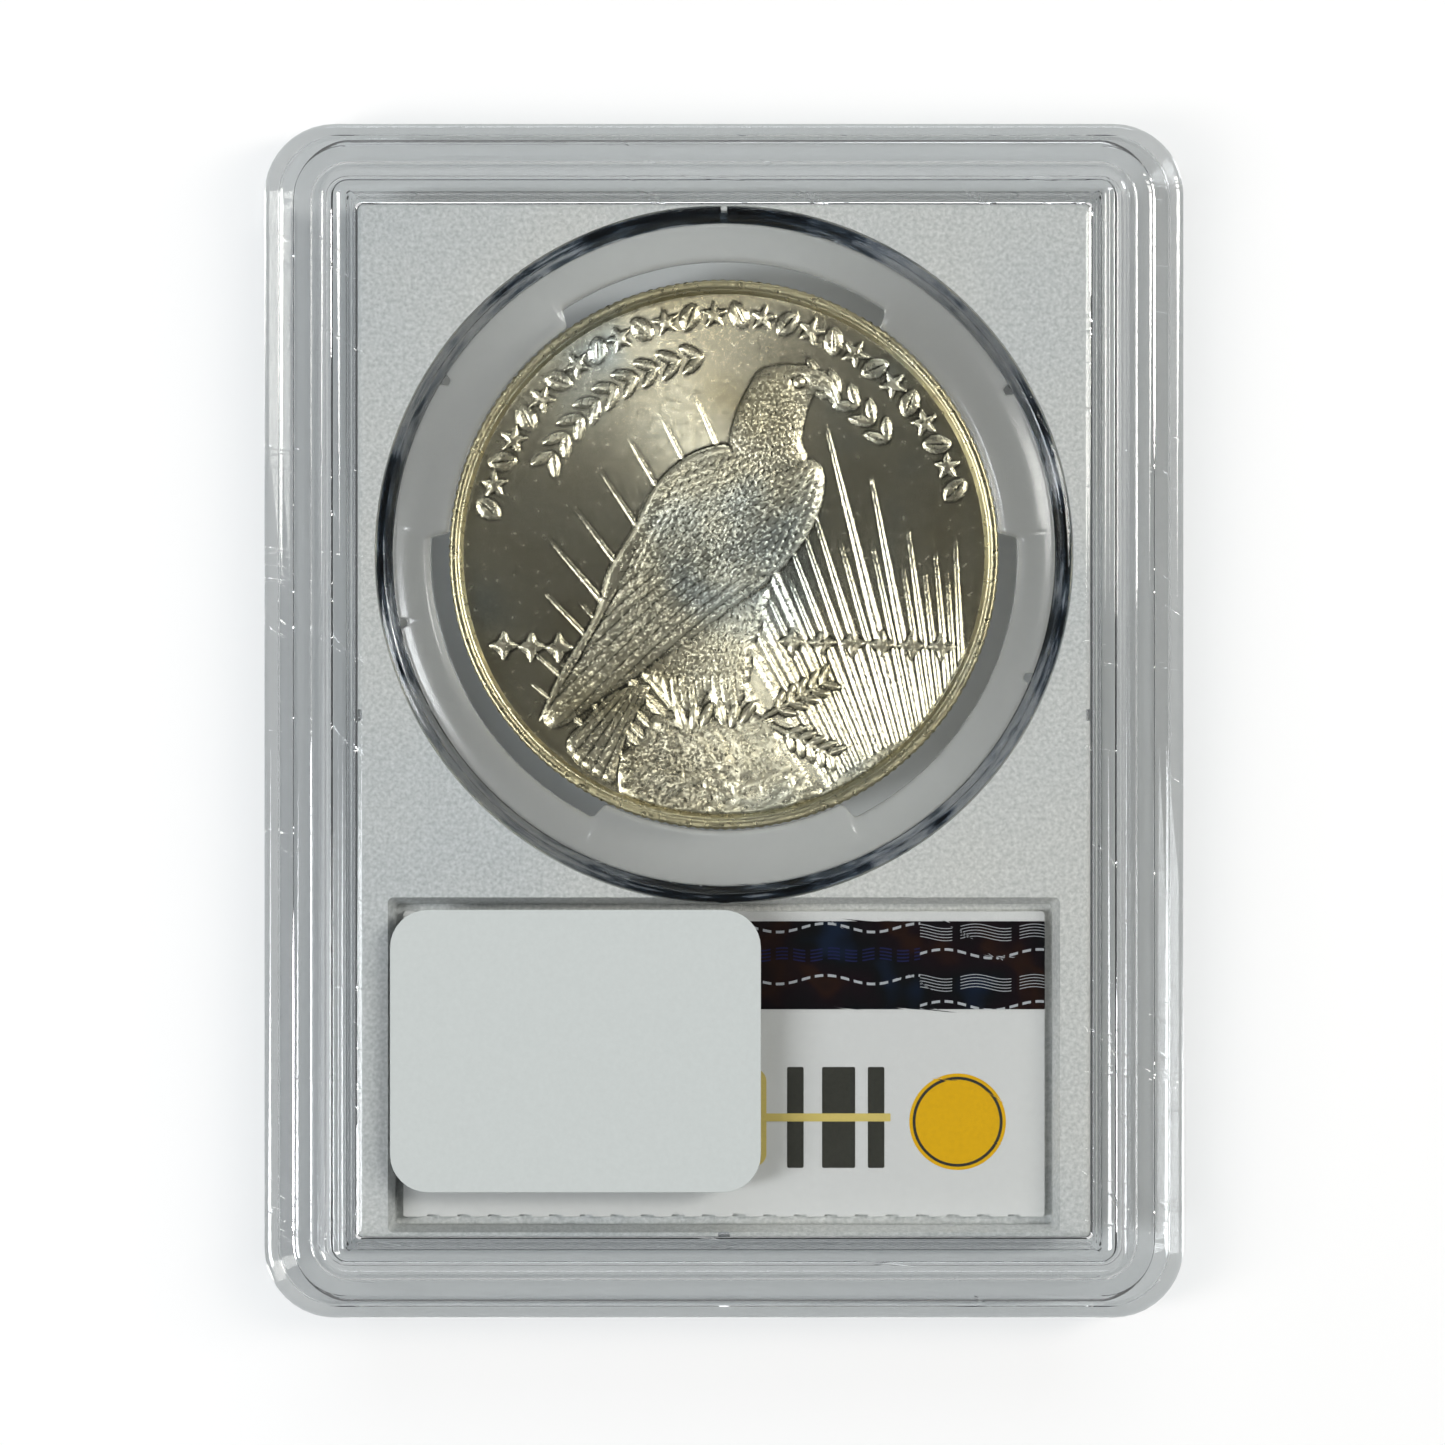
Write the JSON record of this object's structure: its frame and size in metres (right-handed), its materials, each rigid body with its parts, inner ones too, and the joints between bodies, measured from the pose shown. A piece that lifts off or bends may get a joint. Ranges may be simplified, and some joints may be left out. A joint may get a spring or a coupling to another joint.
{
  "type": "graded coin slab",
  "caption": "Flat clear rectangular case with a raised rim, holding one large coin in a round lobed ring above a rectangular label.",
  "frame": {"origin": "centre of the rest plane under the holder's front stacking ridge", "axes": "+Z out of the back face, +Y from the label end to the coin end, +X to the right seen from the back"},
  "size_m": [0.0636, 0.0826, 0.008],
  "materials": {
    "clear_shell": "clear moulded polystyrene",
    "weld_bead": "melted clear plastic",
    "frosted_core": "frosted fine grain",
    "clear_collar": "polished clear plastic",
    "clear_gasket": "soft clear plastic",
    "silver_coin": "struck silver with mint lustre",
    "label_paper": "coated paper",
    "holo_foil": "iridescent foil",
    "sticker_paper": "matt film",
    "tag_foil": "thin foil",
    "tag_chip_black": "moulded chip"
  },
  "bodies": {
    "holder": {"front_shell": "clear_shell", "back_shell": "clear_shell", "weld_seam": "weld_bead", "core_tray": "frosted_core", "ring_collar": "clear_collar", "coin_ring": "clear_gasket", "label_back_card": "label_paper", "label_front_card": "label_paper", "hologram_strip": "holo_foil", "blank_sticker": "sticker_paper", "tag_antenna": "tag_foil", "tag_chip": "tag_chip_black"},
    "coin": {"coin": "silver_coin"}
  },
  "joints": [
    {"name": "coin_turn", "type": "hinge", "parent": "holder", "child": "coin", "pos_m": [0, 0.0115, 0.004], "axis": [0, 0, 1], "continuous": true}
  ]
}
